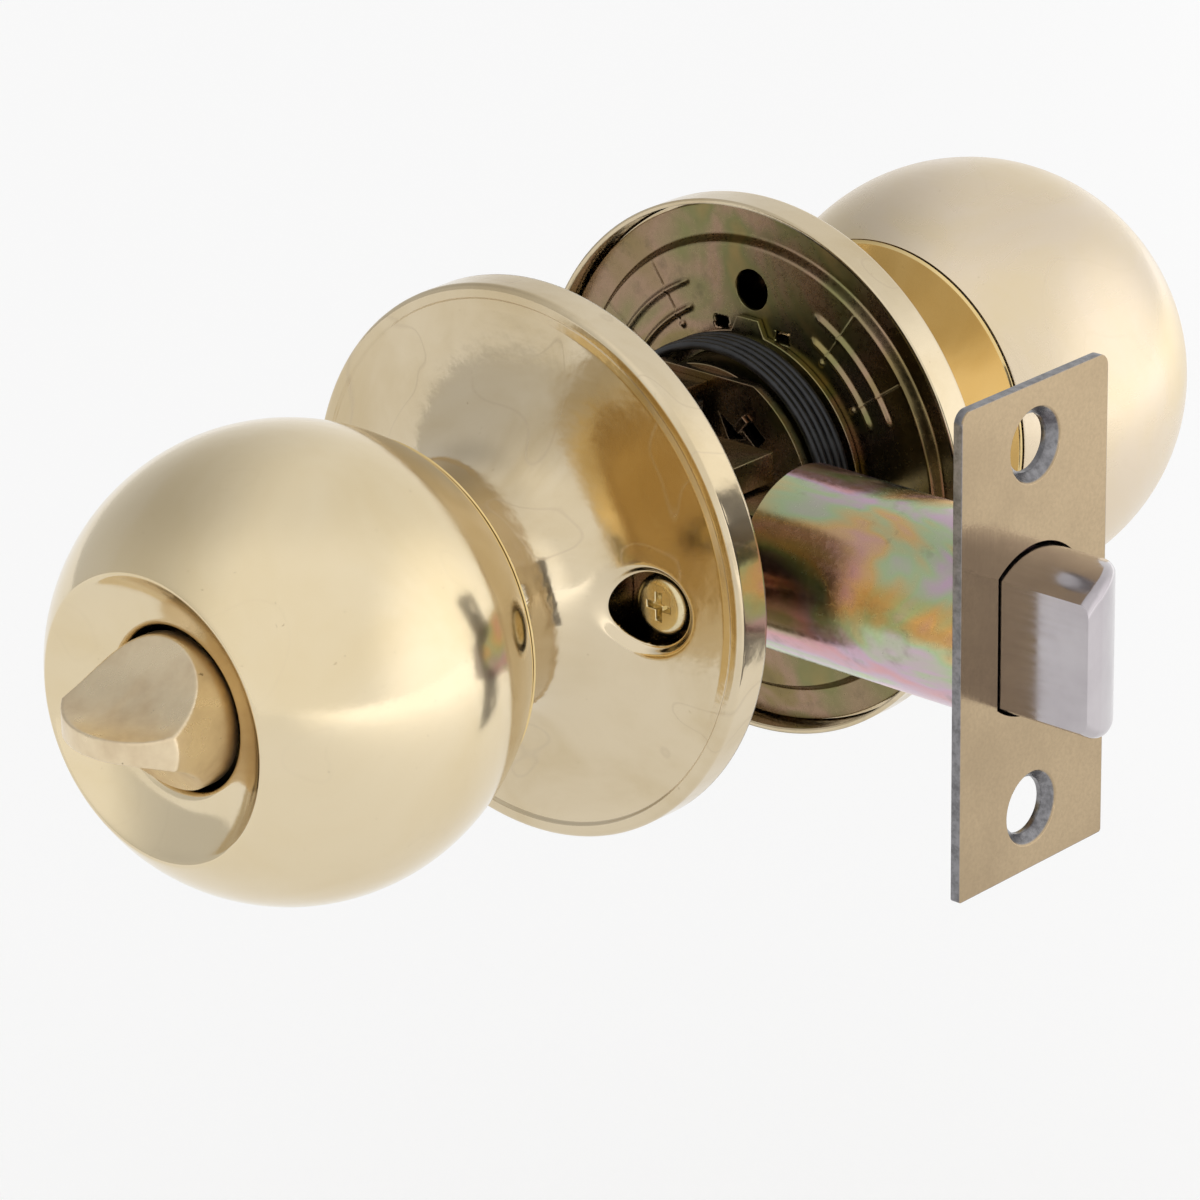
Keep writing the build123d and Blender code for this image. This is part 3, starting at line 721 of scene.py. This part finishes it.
def makeTorsionSpring(side, word, size):
    # Tube of constant wire radius along a helix: centre line (R cos t, start + pitch t / 2 pi, R sin t).
    t = np.linspace(0, fullTurn * size["turns"], size["steps"])
    ripple = size["ripple"] * np.sin(size["rippleRate"] * t + size["ripplePhase"])
    radius = size["radius"] + ripple
    depth = size["start"] + size["pitch"] * t / fullTurn
    angle = np.linspace(0, fullTurn, size["around"], endpoint=False)
    out = radius[:, None] + size["wire"] / 2 * np.cos(angle)[None]
    up = depth[:, None] + size["wire"] / 2 * np.sin(angle)[None]
    points = np.stack([out * np.cos(t)[:, None], side * up, out * np.sin(t)[:, None]], -1).reshape(-1, 3)
    faces = gridFaces(len(t), len(angle), False, True)
    faces = facingOut(points, faces)
    made = piece(word + "Spring", points, faces, "lock_case", springBlack,
                 [word + "_torsion_spring"])
    work = bmesh.new()
    work.from_mesh(made.data)
    bmesh.ops.holes_fill(work, edges=[e for e in work.edges if e.is_boundary], sides=size["around"])
    work.to_mesh(made.data)
    work.free()


makeTorsionSpring(inside, "inside", coil)
makeTorsionSpring(outside, "outside", coil)

chassis = {"edge": 0.15, "collarEdge": 0.18}

for word in ("inside", "outside"):
    softCopy(word + "EndPlate", word + "_end_plate", "lock_case", linerZinc,
             chassis["edge"])
    softCopy(word + "Hub", word + "_hub", "lock_case", linerZinc, chassis["edge"])
    softCopy(word + "Collar", word + "_collar_ring", "lock_case", linerZinc,
             chassis["collarEdge"])
softCopy("chassisFrame", "chassis_frame", "lock_case", linerZinc, chassis["edge"])
softCopy("retractor", "retractor_slide", "retractor", linerZinc, chassis["edge"])
print("chassis made")


# The turn button, and the plug in the outside knob.

def softened(name, node, body, material, voxel, rounds):
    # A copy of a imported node, rebuilt from small cubes and relaxed, for worn and handled edges.
    mesh = frame["nodes"][node].data.copy()
    mesh.name = name
    made = bpy.data.objects.new(name, mesh)
    bpy.context.scene.collection.objects.link(made)
    remesh = made.modifiers.new("Remesh", "REMESH")
    remesh.mode = "VOXEL"
    remesh.voxel_size = voxel * mm
    relax = made.modifiers.new("Relax", "SMOOTH")
    relax.factor = 0.5
    relax.iterations = rounds
    bpy.context.view_layer.update()
    shape = bpy.data.meshes.new_from_object(made.evaluated_get(bpy.context.evaluated_depsgraph_get()))
    made.modifiers.clear()
    made.data = shape
    shape.materials.clear()
    shape.materials.append(material)
    shape.polygons.foreach_set("use_smooth", np.ones(len(shape.polygons), bool))
    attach(made, body)
    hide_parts(node)


button = {"voxel": 0.16, "rounds": 9}
plug = {"edge": 0.25, "segments": 3}

softened("turnButton", "turn_button", "lock_button", buttonBrass,
         button["voxel"], button["rounds"])
softCopy("emergencyPlug", "emergency_plug", "lock_button", buttonBrass,
         plug["edge"], plug["segments"])
print("button made")


# The latch: faceplate, tube, bolt and tail, and the long screws.

latch = {
    "plateEdge": 0.07, "tubeEdge": 0.2, "boltEdge": 0.22, "boltSegments": 3, "tailEdge": 0.15,
    "screwEdge": 0.15,
}

softCopy("faceplate", "latch_faceplate", "lock_case", faceBrass, latch["plateEdge"])
softCopy("latchTube", "latch_tube", "lock_case", tubeZinc, latch["tubeEdge"])
softCopy("bolt", "latch_bolt", "bolt", boltNickel, latch["boltEdge"], latch["boltSegments"])
softCopy("tail", "latch_tail", "bolt", linerZinc, latch["tailEdge"])
softCopy("screws", "mounting_screws", "lock_case", screwSteel, latch["screwEdge"])
print("latch made")

slotMaterials = {
    "bright_steel": plainSteel, "yellow_zinc_steel": linerZinc, "black_plastic": nylon,
    "sintered_bronze": bronze, "brassed_screw_steel": screwSteel, "satin_brass": buttonBrass,
    "polished_brass": ballBrass, "black_spring_steel": springBlack, "plate_brass": faceBrass,
    "nickel": boltNickel,
}
nodeSlots = {part["node"]: part["material_slot"] for part in frame["record"]["subparts"]}
for node, made in frame["nodes"].items():
    made.data.materials.clear()
    made.data.materials.append(slotMaterials[nodeSlots[node]])


# Floor, light and camera.

# Places here are in metres.
floorLook = {
    "half": 4.0, "height": -0.16, "colour": (0.94, 0.94, 0.94), "glow": 0.07, "farGlow": 0.62,
    "glowTowards": (0.77, 0.64, 0), "glowFrom": 0.0, "glowTo": 1.0, "rough": 0.9,
}


def makeFloor(look):
    # A pale floor with painted light: it glows, and glows more towards the studio's bright side, as glow + far
    # * smoothstep(place . towards).
    mesh = bpy.data.meshes.new("floor")
    half, height = look["half"], look["height"]
    corners = [(-half, -half, height), (half, -half, height),
               (half, half, height), (-half, half, height)]
    mesh.from_pydata(corners, [], [(0, 1, 2, 3)])
    made = bpy.data.objects.new("floor", mesh)
    bpy.context.scene.collection.objects.link(made)
    f = Finish("Pale floor")
    along = f.node("ShaderNodeVectorMath", {0: f.place, 1: look["glowTowards"]}, operation="DOT_PRODUCT")
    span = {"Value": along.outputs["Value"], "From Min": look["glowFrom"], "From Max": look["glowTo"],
            "To Min": look["glow"], "To Max": look["glow"] + look["farGlow"]}
    # Painted light: the floor's own glow, rising towards the bright side.
    far = f.node("ShaderNodeMapRange", span, interpolation_type="SMOOTHSTEP")
    mesh.materials.append(f.shade(Base_Color=(*look["colour"], 1), Roughness=look["rough"],
                                  Emission_Color=(1, 1, 1, 1), Emission_Strength=far.outputs["Result"]))


makeFloor(floorLook)

studio = {
    "base": 1.05,
    # Each lobe: direction, cosine where it starts, cosine where it is full, added strength.
    "lobes": [((0.76, 0.63, 0.04), 0.62, 0.995, 0.45), ((-0.95, -0.30, 0.15), 0.2, 0.95, -0.42),
              ((-0.45, 0.40, 0.80), 0.5, 0.95, -0.15)],
}


def makeStudio(setup):
    # Soft light from all round: strength = base + sum of smoothstep(direction . lobe) * amount.
    world = bpy.data.worlds.new("Studio")
    bpy.context.scene.world = world
    world.use_nodes = True
    nodes, links = world.node_tree.nodes, world.node_tree.links
    direction = nodes.new("ShaderNodeTexCoord").outputs["Generated"]
    total = None
    for towards, low, high, amount in setup["lobes"]:
        dot = nodes.new("ShaderNodeVectorMath")
        dot.operation = "DOT_PRODUCT"
        dot.inputs[1].default_value = towards
        links.new(direction, dot.inputs[0])
        lobe = nodes.new("ShaderNodeMapRange")
        lobe.interpolation_type = "SMOOTHSTEP"
        for socket, value in (("From Min", low), ("From Max", high), ("To Min", 0), ("To Max", amount)):
            lobe.inputs[socket].default_value = value
        links.new(dot.outputs["Value"], lobe.inputs["Value"])
        add = nodes.new("ShaderNodeMath")
        add.inputs[1].default_value = setup["base"]
        if total is not None:
            links.new(total, add.inputs[1])
        links.new(lobe.outputs["Result"], add.inputs[0])
        total = add.outputs[0]
    links.new(total, nodes["Background"].inputs["Strength"])
    nodes["Background"].inputs["Color"].default_value = (1, 1, 1, 1)


makeStudio(studio)

cameraSetup = {
    "place": (0.42696, -0.47864, 0.24952), "azimuth": 42.249, "elevation": 22.109, "roll": -0.991,
    "lens": 179.69, "sensor": 36, "near": 0.01, "far": 50,
}


def makeCamera(setup):
    # Looks at the object from azimuth and elevation, with a small roll about the line of sight.
    azimuth, elevation, roll = (np.radians(setup[k]) for k in ("azimuth", "elevation", "roll"))
    level = np.cos(elevation)
    back = np.array([np.sin(azimuth) * level, -np.cos(azimuth) * level, np.sin(elevation)])
    right = np.array([np.cos(azimuth), np.sin(azimuth), 0])
    up = np.cross(back, right)
    turnedRight = right * np.cos(roll) + up * np.sin(roll)
    turnedUp = up * np.cos(roll) - right * np.sin(roll)
    camera = bpy.data.objects.new("camera", bpy.data.cameras.new("camera"))
    bpy.context.scene.collection.objects.link(camera)
    rows = np.column_stack([turnedRight, turnedUp, back, setup["place"]]).tolist()
    camera.matrix_world = Matrix(rows + [[0, 0, 0, 1]])
    camera.data.lens = setup["lens"]
    camera.data.sensor_width = setup["sensor"]
    camera.data.clip_start, camera.data.clip_end = setup["near"], setup["far"]
    bpy.context.scene.camera = camera


makeCamera(cameraSetup)
bpy.context.scene.view_settings.view_transform = "Standard"
